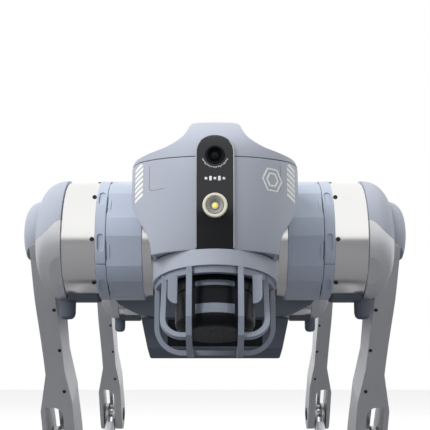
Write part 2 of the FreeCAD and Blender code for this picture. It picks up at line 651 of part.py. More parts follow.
def main():
    os.makedirs("parts", exist_ok=True)
    hip_parts = {"hip_housing": hip_housing(), "hip_motor": hip_motor()}
    leg_parts = {"thigh_collar": thigh_collar(), "thigh_motor_case": thigh_motor_case(),
                 "thigh_link": thigh_link(), "thigh_cover": thigh_cover(), "knee_crank": knee_crank(),
                 "knee_rod": knee_rod(), "calf_link": calf_link(), "foot": foot()}
    for leg, side, end in LEGS:
        for name, shape in hip_parts.items():
            turned = shape if end < 0 else shape.mirror(V(0, 0, 0), Y_AXIS)
            save(leg + "_" + name, turned, side, end * HIP_Y)
        for name, shape in leg_parts.items():
            save(leg + "_" + name, shape, side, end * HIP_Y)
    for make in (trunk_frame, abduction_motors, back_cover, belly_cover, payload_rails, battery_pack,
                 power_button, main_board, trunk_screws, tail_cover, head_crown, head_face_shell,
                 face_window, head_camera, head_lamp, chin_rim, lidar_rotor, lidar_base, lidar_guard,
                 head_speaker):
        save(make.__name__, make())


main()
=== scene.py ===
"""Looks of the quadruped robot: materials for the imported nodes, and the small pieces fitted on them."""
import json
import math

import bmesh
import bpy
from mathutils import Matrix, Vector
from mathutils.bvhtree import BVHTree


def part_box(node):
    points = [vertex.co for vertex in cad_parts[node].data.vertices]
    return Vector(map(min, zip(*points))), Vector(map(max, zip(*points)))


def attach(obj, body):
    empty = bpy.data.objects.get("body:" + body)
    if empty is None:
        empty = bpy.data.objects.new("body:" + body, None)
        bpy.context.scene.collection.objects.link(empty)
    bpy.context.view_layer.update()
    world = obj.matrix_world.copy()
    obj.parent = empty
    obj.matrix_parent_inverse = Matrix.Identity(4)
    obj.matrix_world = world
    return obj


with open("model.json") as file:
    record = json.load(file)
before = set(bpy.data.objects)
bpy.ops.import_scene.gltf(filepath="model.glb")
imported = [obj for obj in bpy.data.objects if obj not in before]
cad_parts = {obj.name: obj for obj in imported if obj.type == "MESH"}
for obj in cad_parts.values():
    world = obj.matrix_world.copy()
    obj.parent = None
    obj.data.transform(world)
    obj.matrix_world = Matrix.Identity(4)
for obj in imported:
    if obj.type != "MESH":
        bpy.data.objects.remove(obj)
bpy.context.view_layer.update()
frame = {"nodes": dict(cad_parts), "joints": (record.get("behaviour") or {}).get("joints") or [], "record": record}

MM = 0.001
JOINTS = {joint["name"]: joint for joint in frame["joints"]}
LEGS = ("front_left", "front_right", "rear_left", "rear_right")
HIP_Z = JOINTS["front_left_thigh_pitch"]["pos_m"][2]
FRONT_Y = JOINTS["front_left_thigh_pitch"]["pos_m"][1]
REAR_Y = JOINTS["rear_left_thigh_pitch"]["pos_m"][1]
MID_Y = (FRONT_Y + REAR_Y) / 2
LEAN = math.asin((JOINTS["front_left_knee"]["pos_m"][1] - FRONT_Y) / 0.213)
MOTOR_R = 46 * MM
LEG_X = 142 * MM
ROLL_X = 46.5 * MM
HOUSING_R = 59 * MM
FLANK_X = -60 * MM
ROTOR_R = 27 * MM
# painted highlights: heights in mm along the spin axis of the two bright arcs that stand in for reflections on the
# scanner barrel
SCAN_HIGHLIGHT_ARCS = ((-23.0, -16.5), (-4.2, -0.6))
CAMERA_Z = HIP_Z + 38.6 * MM
LAMP_Z = HIP_Z + 5.2 * MM
WINDOW_TOP = HIP_Z + 41.2 * MM
FORWARD_RAY = Vector((0, 1, 0))
RAY_START = -0.5


# ---------------------------------------------------------------- materials


def new_material(name):
    material = bpy.data.materials.new(name)
    material.use_nodes = True
    nodes = material.node_tree.nodes
    return material, nodes, material.node_tree.links, nodes["Principled BSDF"]


def noise(nodes, links, coords, scale, detail):
    """A noise texture in object space."""
    texture = nodes.new("ShaderNodeTexNoise")
    texture.inputs["Scale"].default_value = scale
    texture.inputs["Detail"].default_value = detail
    links.new(coords.outputs["Object"], texture.inputs["Vector"])
    return texture


def ranged(nodes, links, socket, low, high, start=0.3, end=0.7):
    """Bring a 0 to 1 signal into the range low to high."""
    node = nodes.new("ShaderNodeMapRange")
    node.inputs["From Min"].default_value = start
    node.inputs["From Max"].default_value = end
    node.inputs["To Min"].default_value = low
    node.inputs["To Max"].default_value = high
    links.new(socket, node.inputs["Value"])
    return node.outputs["Result"]


def mixed(nodes, links, factor, first, second):
    node = nodes.new("ShaderNodeMix")
    node.data_type = "RGBA"
    links.new(factor, node.inputs["Factor"])
    for socket, value in ((node.inputs[6], first), (node.inputs[7], second)):
        if isinstance(value, tuple):
            socket.default_value = (*value, 1.0)
        else:
            links.new(value, socket)
    return node.outputs[2]


def shade(colour, factor):
    return tuple(min(1.0, channel * factor) for channel in colour)


def surface(name, colour, rough=0.4, metallic=0.0, grain=700.0, bump=0.05, spread=0.10, edge=0.12,
            coat=0.0, specular=0.5):
    """Painted, moulded or machined surface: clouded colour, fine grain, uneven gloss and worn edges."""
    material, nodes, links, shader = new_material(name)
    coords = nodes.new("ShaderNodeTexCoord")
    cloud = noise(nodes, links, coords, 22.0, 4.0)
    fine = noise(nodes, links, coords, grain, 2.0)
    tone = mixed(nodes, links, ranged(nodes, links, cloud.outputs["Fac"], 0.0, 1.0),
                 shade(colour, 1 - spread), shade(colour, 1 + spread))
    rounded = nodes.new("ShaderNodeBevel")
    rounded.samples = 4
    rounded.inputs["Radius"].default_value = 0.7 * MM
    geometry = nodes.new("ShaderNodeNewGeometry")
    compare = nodes.new("ShaderNodeVectorMath")
    compare.operation = "DOT_PRODUCT"
    links.new(rounded.outputs["Normal"], compare.inputs[0])
    links.new(geometry.outputs["Normal"], compare.inputs[1])
    wear = ranged(nodes, links, compare.outputs["Value"], edge, 0.0, 0.80, 0.97)
    tone = mixed(nodes, links, wear, tone, shade(colour, 1.8))
    links.new(tone, shader.inputs["Base Color"])
    gloss = ranged(nodes, links, fine.outputs["Fac"], rough * 0.88, min(1.0, rough * 1.12))
    links.new(gloss, shader.inputs["Roughness"])
    relief = nodes.new("ShaderNodeBump")
    relief.inputs["Strength"].default_value = bump
    relief.inputs["Distance"].default_value = 0.2 * MM
    links.new(fine.outputs["Fac"], relief.inputs["Height"])
    links.new(rounded.outputs["Normal"], relief.inputs["Normal"])
    links.new(relief.outputs["Normal"], shader.inputs["Normal"])
    shader.inputs["Metallic"].default_value = metallic
    shader.inputs["Coat Weight"].default_value = coat
    shader.inputs["Coat Roughness"].default_value = 0.12
    shader.inputs["Specular IOR Level"].default_value = specular
    return material


def glowing(name, colour, strength):
    material, nodes, links, shader = new_material(name)
    coords = nodes.new("ShaderNodeTexCoord")
    cells = noise(nodes, links, coords, 1500.0, 1.0)
    tone = mixed(nodes, links, ranged(nodes, links, cells.outputs["Fac"], 0.0, 1.0),
                 shade(colour, 0.8), shade(colour, 1.1))
    links.new(tone, shader.inputs["Base Color"])
    links.new(tone, shader.inputs["Emission Color"])
    shader.inputs["Emission Strength"].default_value = strength
    shader.inputs["Roughness"].default_value = 0.25
    return material


SHELL = surface("shell_paint", (0.375, 0.405, 0.475), rough=0.42, grain=900, bump=0.04, spread=0.03,
                edge=0.18)
HIP = surface("hip_paint", (0.42, 0.475, 0.575), rough=0.34, grain=900, bump=0.04, spread=0.05,
              edge=0.22)
SILVER = surface("motor_silver", (0.86, 0.855, 0.845), rough=0.20, metallic=1.0, grain=1600, bump=0.02,
                 spread=0.02, edge=0.1)
ARM = surface("arm_metal", (0.68, 0.69, 0.71), rough=0.45, metallic=0.9, grain=1800, bump=0.06,
              spread=0.03, edge=0.25)
SLATE = surface("dark_slate", (0.085, 0.102, 0.134), rough=0.45, grain=1100, bump=0.12, spread=0.08,
                edge=0.10)
WINDOW = surface("window_black", (0.008, 0.009, 0.011), rough=0.16, grain=300, bump=0.0, spread=0.1,
                 edge=0.02, coat=0.15, specular=0.4)
CREAM = surface("bezel_cream", (0.72, 0.70, 0.58), rough=0.22, grain=500, bump=0.02, spread=0.05,
                edge=0.2)
LIDAR = surface("lidar_black", (0.007, 0.008, 0.010), rough=0.30, grain=400, bump=0.02, spread=0.2,
                edge=0.03, specular=0.12)
CAGE = surface("cage_grey", (0.23, 0.26, 0.32), rough=0.38, grain=900, bump=0.05, spread=0.05,
               edge=0.25)
FRAME = surface("frame_metal", (0.20, 0.23, 0.28), rough=0.42, grain=1000, bump=0.08, spread=0.05,
                edge=0.2)
STEEL = surface("bright_steel", (0.75, 0.75, 0.74), rough=0.25, metallic=1.0, grain=900, bump=0.08,
                edge=0.2)
DARK_STEEL = surface("dark_steel", (0.045, 0.046, 0.05), rough=0.35, metallic=0.8, grain=1500,
                     bump=0.08, edge=0.4)
RUBBER = surface("foot_rubber", (0.022, 0.022, 0.024), rough=0.72, grain=1600, bump=0.30, spread=0.2,
                 edge=0.08)
BOARD = surface("board_green", (0.03, 0.12, 0.06), rough=0.4, grain=800, bump=0.1)
BATTERY = surface("battery_case", (0.11, 0.125, 0.15), rough=0.48, grain=1100, bump=0.14, spread=0.06,
                  edge=0.12)
BUTTON = surface("button_grey", (0.42, 0.44, 0.47), rough=0.4, grain=900, bump=0.06)
MARKING = surface("marking_white", (0.88, 0.88, 0.88), rough=0.5, grain=1200, bump=0.05, spread=0.03,
                  edge=0.0)
REFLECTOR = surface("lamp_reflector", (0.42, 0.43, 0.44), rough=0.35, metallic=0.4, grain=900,
                    bump=0.04)
# painted shadow: darker shell tone for the fine line that stands in for the shade along the edge of each cheek
# panel
PANEL_SHADOW = surface("painted_panel_shadow", (0.27, 0.30, 0.36), rough=0.5, grain=900, bump=0.04, spread=0.05,
                edge=0.0)
# painted highlight: lighter glossy blue-grey for the arcs that stand in for reflections on the scanner barrel
HIGHLIGHT_BAND = surface("painted_scan_highlight", (0.16, 0.19, 0.24), rough=0.15, grain=700, bump=0.02, spread=0.05,
               edge=0.1, coat=0.5)
TRIM = surface("trim_line", (0.035, 0.04, 0.05), rough=0.6, grain=1000, bump=0.05, spread=0.1,
               edge=0.0)
LENS = surface("lens_glass", (0.010, 0.008, 0.012), rough=0.03, grain=100, bump=0.0, spread=0.3,
               edge=0.0, coat=1.0, specular=0.8)
LIGHT = glowing("lamp_light", (0.95, 0.78, 0.16), 0.45)
STATUS = glowing("status_light", (0.25, 0.9, 0.45), 1.2)

MATERIALS = {"shell_paint": SHELL, "hip_paint": HIP, "motor_silver": SILVER, "arm_metal": ARM,
             "dark_slate": SLATE, "window_black": WINDOW, "bezel_cream": CREAM, "lidar_black": LIDAR,
             "cage_grey": CAGE, "frame_metal": FRAME, "bright_steel": STEEL, "dark_steel": DARK_STEEL,
             "foot_rubber": RUBBER, "board_green": BOARD, "battery_case": BATTERY, "button_grey": BUTTON}


def paint_nodes():
    slots = {part["node"]: part["material_slot"] for part in frame["record"]["subparts"]}
    for name, node in frame["nodes"].items():
        node.data.materials.clear()
        node.data.materials.append(MATERIALS[slots[name]])


# ---------------------------------------------------------------- mesh helpers


def finish_piece(mesh_data, name, material, body):
    """Turn a bmesh into a piece that rides on a body."""
    bmesh.ops.recalc_face_normals(mesh_data, faces=mesh_data.faces)
    data = bpy.data.meshes.new(name)
    mesh_data.to_mesh(data)
    mesh_data.free()
    data.materials.append(material)
    data.polygons.foreach_set("use_smooth", [True] * len(data.polygons))
    data.set_sharp_from_angle(angle=math.radians(35.0))
    piece = bpy.data.objects.new(name, data)
    bpy.context.scene.collection.objects.link(piece)
    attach(piece, body)


def add_lathe(mesh_data, outline, place, segments=28):
    """Turn (radius, height) points about the local Z axis; place is the matrix that puts it there."""
    rings = []
    for radius, height in outline:
        if radius == 0:
            rings.append([mesh_data.verts.new(place @ Vector((0, 0, height)))])
            continue
        turns = [math.tau * k / segments for k in range(segments)]
        ring = [Vector((radius * math.cos(turn), radius * math.sin(turn), height)) for turn in turns]
        rings.append([mesh_data.verts.new(place @ point) for point in ring])
    for lower, upper in zip(rings, rings[1:]):
        for k in range(segments):
            after = (k + 1) % segments
            corners = [lower[k % len(lower)], lower[after % len(lower)],
                       upper[after % len(upper)], upper[k % len(upper)]]
            unique = list(dict.fromkeys(corners))
            if len(unique) > 2:
                mesh_data.faces.new(unique)


def facing(position, direction, up=(0, 0, 1)):
    """Matrix that puts local Z along a direction at a position."""
    axis = Vector(direction).normalized()
    side = Vector(up).cross(axis)
    if side.length < 1e-6:
        side = Vector((1, 0, 0))
    side.normalize()
    turn = Matrix((side, axis.cross(side), axis)).transposed().to_4x4()
    return Matrix.Translation(Vector(position)) @ turn


def screw_outline(radius, height):
    """Domed screw head with a socket."""
    return [(radius, -0.4 * MM), (radius, height * 0.55), (radius * 0.88, height * 0.9),
            (radius * 0.6, height), (radius * 0.5, height), (radius * 0.46, height * 0.2),
            (0, height * 0.15)]


def add_screw(mesh_data, position, direction, radius=1.7 * MM, height=1.0 * MM):
    add_lathe(mesh_data, screw_outline(radius, height), facing(position, direction), 18)


def add_box(mesh_data, low, high, bevel):
    """Box with rounded edges."""
    low, high = Vector(low), Vector(high)
    made = bmesh.ops.create_cube(mesh_data, size=1.0)
    verts = made["verts"]
    bmesh.ops.scale(mesh_data, vec=high - low, verts=verts)
    bmesh.ops.translate(mesh_data, vec=(low + high) / 2, verts=verts)
    edges = list({edge for vert in verts for edge in vert.link_edges})
    bmesh.ops.bevel(mesh_data, geom=edges, offset=bevel, segments=3, profile=0.5, affect="EDGES")


def join_rings(mesh_data, rings):
    """Quads from each ring of vertices to the next."""
    for one, other in zip(rings, rings[1:]):
        for k in range(len(one)):
            after = (k + 1) % len(one)
            mesh_data.faces.new((one[k], one[after], other[after], other[k]))


def cap_rings(mesh_data, rings):
    """Faces over the first and the last ring."""
    mesh_data.faces.new(rings[0])
    mesh_data.faces.new(rings[-1][::-1])


def surface_tree(*nodes):
    """Ray casting tree of CAD nodes at rest."""
    verts, faces = [], []
    for name in nodes:
        data = frame["nodes"][name].data
        base = len(verts)
        verts += [vert.co.copy() for vert in data.vertices]
        faces += [[base + index for index in face.vertices] for face in data.polygons]
    return BVHTree.FromPolygons(verts, faces)


def add_decal(mesh_data, tree, columns, lift=0.12 * MM):
    """Thin patch on surfaces that face forward; columns are rows of (x, z) points that form a grid."""
    grids = []
    for row in columns:
        line = []
        for x, z in row:
            spot, normal, _, _ = tree.ray_cast(Vector((x, RAY_START, z)), FORWARD_RAY)
            if spot is None:
                return
            if normal.dot(FORWARD_RAY) > 0:
                normal = -normal
            line.append((spot, normal))
        grids.append(line)
    layers = []
    for height in (-lift, lift):
        layers.append([[mesh_data.verts.new(spot + normal * height) for spot, normal in line]
                       for line in grids])
    low, high = layers
    rows, count = len(grids), len(grids[0])
    for i in range(rows - 1):
        for j in range(count - 1):
            mesh_data.faces.new((high[i][j], high[i][j + 1], high[i + 1][j + 1], high[i + 1][j]))
            mesh_data.faces.new((low[i][j], low[i + 1][j], low[i + 1][j + 1], low[i][j + 1]))
    for j in range(count - 1):
        mesh_data.faces.new((low[0][j], low[0][j + 1], high[0][j + 1], high[0][j]))
        mesh_data.faces.new((low[-1][j + 1], low[-1][j], high[-1][j], high[-1][j + 1]))
    for i in range(rows - 1):
        mesh_data.faces.new((low[i + 1][0], low[i][0], high[i][0], high[i + 1][0]))
        mesh_data.faces.new((low[i][-1], low[i + 1][-1], high[i + 1][-1], high[i][-1]))


def ring_strip(path, half_width):
    """Grid rows for a closed or open line of (x, z) points of the given half width."""
    rows = []
    count = len(path)
    for k, (x, z) in enumerate(path):
        before = path[max(0, k - 1)]
        after = path[min(count - 1, k + 1)]
        if path[0] == path[-1]:
            before = path[k - 1] if k else path[-2]
            after = path[k + 1] if k < count - 1 else path[1]
        along = Vector((after[0] - before[0], after[1] - before[1])).normalized()
        across = Vector((-along.y, along.x)) * half_width
        rows.append([(x - across.x, z - across.y), (x + across.x, z + across.y)])
    return rows


# ---------------------------------------------------------------- head


def cheek_marks():
    """Slanted stripes on both cheeks, and a hexagon outline on the left one."""
    tree = surface_tree("head_face_shell", "head_crown")
    stripes = bmesh.new()
    for side in (-1, 1):
        for k in range(7):
            low = HIP_Z + (14.2 + 3.62 * k) * MM
            rows = []
            for step in range(4):
                across = step / 3
                x = side * (49.5 + 6.7 * across) * MM
                rise = (1 - across) * 3.0 * MM
                rows.append([(x, low + rise), (x, low + rise + 2.5 * MM)])
            add_decal(stripes, tree, rows)
    finish_piece(stripes, "cheek_stripes", MARKING, "trunk")

    mark = bmesh.new()
    centre = Vector((38.5 * MM, HIP_Z + 25.5 * MM))
    for radius in (8.4, 4.8):
        corners = [(centre.x + radius * 0.80 * MM * math.cos(math.pi / 3 * k),
                    centre.y + radius * MM * math.sin(math.pi / 3 * k)) for k in range(6)]
        path = []
        for a, b in zip(corners, corners[1:] + corners[:1]):
            path += [(a[0] + (b[0] - a[0]) * t / 3, a[1] + (b[1] - a[1]) * t / 3) for t in range(3)]
        path.append(path[0])
        add_decal(mark, tree, ring_strip(path, 0.6 * MM))
    finish_piece(mark, "cheek_emblem", MARKING, "trunk")


def window_marks():
    """Arc of ticks under the camera and five plain marks below it."""
    glass = surface_tree("face_window", "head_camera", "head_lamp")
    ticks = bmesh.new()
    for k in range(19):
        angle = math.radians(200 + 140 * k / 18)
        inner, outer = 7.9 * MM, (8.7 if k % 3 else 9.0) * MM
        turn = math.radians(1.7)
        rows = [[(radius * math.cos(angle - turn), CAMERA_Z + radius * math.sin(angle - turn)),
                 (radius * math.cos(angle + turn), CAMERA_Z + radius * math.sin(angle + turn))]
                for radius in (inner, outer)]
        add_decal(ticks, glass, rows, 0.08 * MM)
    for k in range(5):
        x = (k - 2) * 2.9 * MM
        half, z = 0.85 * MM, HIP_Z + 22.8 * MM
        height = (1.5 if k % 2 else 0.8) * MM
        add_decal(ticks, glass, [[(x - half, z - height), (x - half, z + height)],
                                 [(x + half, z - height), (x + half, z + height)]], 0.08 * MM)
    finish_piece(ticks, "window_markings", MARKING, "trunk")


def camera_details():
    camera_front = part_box("head_camera")[0].y
    rings = bmesh.new()
    place = facing((0, camera_front, CAMERA_Z), (0, -1, 0))
    add_lathe(rings, [(6.2 * MM, -0.5 * MM), (6.2 * MM, 0.25 * MM), (5.6 * MM, 0.45 * MM),
                      (5.0 * MM, 0.2 * MM), (4.6 * MM, -1.2 * MM), (3.6 * MM, -2.4 * MM)], place, 48)
    finish_piece(rings, "camera_ring", LIDAR, "trunk")
    lens = bmesh.new()
    dome = [(3.7 * MM * math.cos(math.radians(a)), (-3.0 + 1.7 * math.sin(math.radians(a))) * MM)
            for a in range(0, 90, 10)] + [(0, -1.3 * MM)]
    add_lathe(lens, dome, place, 40)
    finish_piece(lens, "camera_lens", LENS, "trunk")


def lamp_details():
    lamp_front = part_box("head_lamp")[0].y
    lamp = facing((0, lamp_front, LAMP_Z), (0, -1, 0))
    bowl = bmesh.new()
    steps = [(5.5 * MM, -0.3 * MM), (5.2 * MM, -0.8 * MM), (4.6 * MM, -1.9 * MM), (4.2 * MM, -2.0 * MM),
             (3.9 * MM, -2.9 * MM), (3.3 * MM, -3.0 * MM), (3.0 * MM, -3.9 * MM), (2.0 * MM, -4.0 * MM)]
    add_lathe(bowl, steps, lamp, 48)
    finish_piece(bowl, "lamp_reflector", REFLECTOR, "trunk")
    bulb = bmesh.new()
    dome = [(1.9 * MM * math.cos(math.radians(a)), (-3.6 + 1.4 * math.sin(math.radians(a))) * MM)
            for a in range(0, 90, 10)] + [(0, -2.2 * MM)]
    add_lathe(bulb, dome, lamp, 32)
    finish_piece(bulb, "lamp_bulb", LIGHT, "trunk")


def window_bezel():
    """Fine bright bead round the window, open at the chin."""
    bezel = bmesh.new()
    half = 12.35 * MM
    path = [(-half, HIP_Z + z * MM) for z in range(-22, 41, 5)]
    path += [(-half * math.cos(math.radians(a)), WINDOW_TOP + half * math.sin(math.radians(a)))
             for a in range(0, 181, 10)]
    path += [(half, HIP_Z + z * MM) for z in range(38, -23, -5)]
    add_rail(bezel, surface_tree("head_face_shell", "head_crown", "face_window"), path)
    finish_piece(bezel, "window_bezel", BUTTON, "trunk")


def add_rail(mesh_data, tree, path):
    """Thin raised bead that follows a line of (x, z) points on the front of the head."""
    rise = Vector((0, -0.25 * MM, 0))
    depth = Vector((0, 1.6 * MM, 0))
    spots = []
    for x, z in path:
        spot = tree.ray_cast(Vector((x * 0.94, RAY_START, z)), FORWARD_RAY)[0]
        if spot is not None:
            spots.append(Vector((x, spot.y, z)))
    rings = []
    for k, spot in enumerate(spots):
        along = (spots[min(k + 1, len(spots) - 1)] - spots[max(k - 1, 0)]).normalized()
        across = along.cross(FORWARD_RAY).normalized() * 0.42 * MM
        section = (spot - across + depth, spot - across + rise, spot + across + rise, spot + across + depth)
        rings.append([mesh_data.verts.new(point) for point in section])
    join_rings(mesh_data, rings)
    cap_rings(mesh_data, rings)


def cheek_panel_shadows():
    """Painted shadow beside the stripes of each cheek: a fine darker line along the outer corner of a shallow
    moulded panel, standing in for the shade at the panel's edge.
    """
    tree = surface_tree("head_face_shell")
    lines = bmesh.new()
    for side in (-1, 1):
        corner, radius = (44.6, 19.0), 2.5
        path = [(side * (34 + 0.9 * k) * MM, HIP_Z + corner[1] * MM) for k in range(10)]
        path += [(side * (corner[0] - radius + radius * math.sin(math.radians(a))) * MM,
                  HIP_Z + (corner[1] + radius - radius * math.cos(math.radians(a))) * MM)
                 for a in range(15, 91, 25)]
        path += [(side * corner[0] * MM, HIP_Z + (corner[1] + radius + 1.5 * k) * MM) for k in range(1, 11)]
        add_decal(lines, tree, ring_strip(path, 0.28 * MM), 0.06 * MM)
    finish_piece(lines, "cheek_panel_shadow_marks", PANEL_SHADOW, "trunk")


def chin_underside():
    """Floor of the face above the chin rim, which closes the shell between the cheeks."""
    floor = bmesh.new()
    columns = []
    for step in range(-14, 15):
        x = 3.0 * step
        corners = []
        for y in (-250 - 75 * math.sqrt(1 - (x / 61.5) ** 2), -247):
            low = -20.8 - (y + 345) * 0.0574
            corners += [(x, y, low), (x, y, low + 1.3)]
        columns.append([floor.verts.new((px * MM, MID_Y + py * MM, HIP_Z + pz * MM))
                        for px, py, pz in corners])
    for one, other in zip(columns, columns[1:]):
        for a, b in ((0, 1), (1, 3), (3, 2), (2, 0)):
            floor.faces.new((one[a], one[b], other[b], other[a]))
    for end in (columns[0], columns[-1]):
        floor.faces.new((end[0], end[1], end[3], end[2]))
    finish_piece(floor, "chin_underside", SHELL, "trunk")


def scanner_painted_shade():
    """Painted shade: a black sheet on the front of the belly pod, behind the scanner, standing in for the shade
    between the scanner cage and the body.
    """
    shade_sheet = bmesh.new()
    rows = [[(x * MM, HIP_Z + z * MM) for z in (-83.5, -76, -68, -61)] for x in (-40, -20, 0, 20, 40)]
    add_decal(shade_sheet, surface_tree("belly_cover"), rows, 0.2 * MM)
    finish_piece(shade_sheet, "dark_sheet_for_scanner_shade", LIDAR, "trunk")


def scanner_painted_highlights():
    """Two painted highlight bands on the front of the scanner: bright glossy arcs that stand in for reflections on
    the barrel; they ride on the rotor.
    """
    pivot = Vector(JOINTS["lidar_spin"]["pos_m"])
    axis = Vector(JOINTS["lidar_spin"]["axis"]).normalized()
    highlight_arcs = bmesh.new()
    ahead = Vector((0, -axis.z, axis.y))
    for low, high in SCAN_HIGHLIGHT_ARCS:
        rings = []
        for angle in range(-28, 29, 4):
            turn = math.radians(angle)
            out = ahead * math.cos(turn) + Vector((math.sin(turn), 0, 0))
            rings.append([highlight_arcs.verts.new(pivot + out * (ROTOR_R + reach * MM) + axis * height * MM)
                          for reach, height in ((-1.0, low), (0.3, low), (0.4, low + 0.5), (0.4, high - 0.5),
                                                (0.3, high), (-1.0, high))])
        join_rings(highlight_arcs, rings)
        cap_rings(highlight_arcs, rings)
    finish_piece(highlight_arcs, "scanner_painted_highlights", HIGHLIGHT_BAND, "lidar_rotor")


def scanner_tabs():
    """Plates hanging on both sides of the scanner, each with one rounded corner."""
    pivot = Vector(JOINTS["lidar_spin"]["pos_m"])
    tabs = bmesh.new()
    for side in (-1, 1):
        outline = [(24.6, -38.5), (31.0, -38.5), (31.0, -52.0)]
        outline += [(31.0 - 5.5 + 5.5 * math.cos(math.radians(a)), -52.0 - 5.5 * math.sin(math.radians(a)))
                    for a in range(15, 91, 15)]
        outline += [(24.6, -57.5)]
        front = [tabs.verts.new((side * x * MM, pivot.y + (-26.5 + (z + 38.5) * 0.27) * MM, HIP_Z + z * MM))
                 for x, z in outline]
        back = [tabs.verts.new(vert.co + Vector((0, 1.6 * MM, 0))) for vert in front]
        tabs.faces.new(front)
        tabs.faces.new(back[::-1])
        count = len(front)
        for k in range(count):
            tabs.faces.new((front[k], back[k], back[(k + 1) % count], front[(k + 1) % count]))
    finish_piece(tabs, "scanner_side_tabs", CAGE, "trunk")


# ---------------------------------------------------------------- trunk


def battery_details():
    face_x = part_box("battery_pack")[1].x
    charge = bmesh.new()
    for k in range(4):
        centre = Vector((face_x, MID_Y - 12 * MM + 8 * k * MM, HIP_Z + 22 * MM))
        add_box(charge, centre + Vector((-0.6, -2.6, -1.1)) * MM, centre + Vector((0.35, 2.6, 1.1)) * MM,
                bevel=0.3 * MM)
    finish_piece(charge, "battery_charge_lights", STATUS, "battery")
    grips = bmesh.new()
    for y in (-62, 62):
        for k in range(5):
            centre = Vector((face_x, MID_Y + y * MM, HIP_Z + (-16 + 8 * k) * MM))
            add_box(grips, centre + Vector((-0.6, -4.0, -1.3)) * MM, centre + Vector((0.6, 4.0, 1.3)) * MM,
                    bevel=0.5 * MM)
    finish_piece(grips, "battery_grip_ribs", SLATE, "battery")


def flank_details():
    """Vents and a plate on the right flank, opposite the battery."""
    vents = bmesh.new()
    for k in range(9):
        y = MID_Y + (-48 + 12 * k) * MM
        add_box(vents, (FLANK_X - 0.5 * MM, y - 2.2 * MM, HIP_Z - 14 * MM),
                (FLANK_X + 0.6 * MM, y + 2.2 * MM, HIP_Z + 18 * MM), bevel=0.4 * MM)
    finish_piece(vents, "side_vents", DARK_STEEL, "trunk")
    plate = bmesh.new()
    add_box(plate, (FLANK_X - 1.2 * MM, MID_Y - 70 * MM, HIP_Z - 38 * MM),
            (FLANK_X + 0.6 * MM, MID_Y + 70 * MM, HIP_Z - 22 * MM), bevel=1.0 * MM)
    finish_piece(plate, "side_plate", SLATE, "trunk")


def trunk_screws():
    """Screws round the four end housings and at the corners of the right flank."""
    fixings = bmesh.new()
    for end in (-1, 1):
        for side in (-1, 1):
            for angle in (-50, 0, 50):
                turn = math.radians(angle)
                way = Vector((side * math.cos(turn), 0, math.sin(turn)))
                place = Vector((side * ROLL_X, MID_Y + end * 108 * MM, HIP_Z)) + way * HOUSING_R
                add_screw(fixings, place, way, 2.6 * MM, 1.2 * MM)
    for y in (-78, 78):
        for z in (-34, 34):
            add_screw(fixings, (FLANK_X, MID_Y + y * MM, HIP_Z + z * MM), (-1, 0, 0), 2.2 * MM, 1.1 * MM)
    finish_piece(fixings, "trunk_side_screws", DARK_STEEL, "trunk")


def housing_grooves():
    """Dark joint lines round the outer half of each end housing."""
    grooves = bmesh.new()
    inner, outer = HOUSING_R - 1.5 * MM, HOUSING_R + 0.15 * MM
    section = ((-0.5 * MM, inner), (-0.5 * MM, outer), (0.5 * MM, outer), (0.5 * MM, inner))
    steps = 24
    for end in (-1, 1):
        for offset in (89.5, 137.0):
            for side, start in ((1, -88), (-1, 92)):
                base = Vector((side * ROLL_X, MID_Y + end * offset * MM, HIP_Z))
                rings = []
                for k in range(steps + 1):
                    turn = math.radians(start + 176 * k / steps)
                    way = Vector((math.cos(turn), 0, math.sin(turn)))
                    rings.append([grooves.verts.new(base + way * radius + Vector((0, along, 0)))
                                  for along, radius in section])
                join_rings(grooves, rings)
    finish_piece(grooves, "housing_grooves", TRIM, "trunk")


def tail_details():
    """Two ports and a light on the tail."""
    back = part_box("tail_cover")[1].y
    ports = bmesh.new()
    for z in (-3.5, 10.5):
        centre = Vector((0, back - 1.2 * MM, HIP_Z + z * MM))
        add_box(ports, centre + Vector((-4.2, -2.0, -1.7)) * MM, centre + Vector((4.2, 0.2, 1.7)) * MM,
                bevel=0.5 * MM)
    finish_piece(ports, "tail_ports", STEEL, "trunk")
    lamp = bmesh.new()
    centre = Vector((0, back - 0.6 * MM, HIP_Z + 27 * MM))
    add_box(lamp, centre + Vector((-6, -1.5, -1.6)) * MM, centre + Vector((6, 0.8, 1.6)) * MM,
            bevel=0.6 * MM)
    finish_piece(lamp, "tail_light", STATUS, "trunk")


# ---------------------------------------------------------------- legs


def leg_side(leg):
    return 1 if JOINTS[leg + "_thigh_pitch"]["pos_m"][0] > 0 else -1


def pitch_spot(leg, x, radius, angle):
    """Point at |X| x, at a radius and an angle above the forward direction round the pitch axis."""
    hip = Vector(JOINTS[leg + "_thigh_pitch"]["pos_m"])
    turn = math.radians(angle)
    return Vector((leg_side(leg) * x, hip.y - radius * math.cos(turn), hip.z + radius * math.sin(turn)))


def case_screws(leg):
    hip = Vector(JOINTS[leg + "_thigh_pitch"]["pos_m"])
    screws = bmesh.new()
    for k in range(8):
        place = pitch_spot(leg, 92.3 * MM, MOTOR_R, -6 + 45 * k)
        add_screw(screws, place, place - Vector((place.x, hip.y, hip.z)))
    finish_piece(screws, leg + "_case_screws", DARK_STEEL, leg + "_thigh")


def case_pad(leg):
    """Raised strip under the motor case, thinner at both ends."""
    pad = bmesh.new()
    rings = []
    inner = MOTOR_R + 0.1 * MM
    for angle in range(-108, -71, 4):
        lift = min(1.0, (19 - abs(angle + 90)) / 6)
        outer = inner + 3.5 * MM * max(0.15, lift)
        section = ((91, inner), (91, outer - 1 * MM), (92, outer), (114, outer), (115, outer - 1 * MM),
                   (115, inner))
        rings.append([pad.verts.new(pitch_spot(leg, x * MM, radius, angle)) for x, radius in section])
    join_rings(pad, rings)
    cap_rings(pad, rings)
    finish_piece(pad, leg + "_case_pad", SLATE, leg + "_thigh")


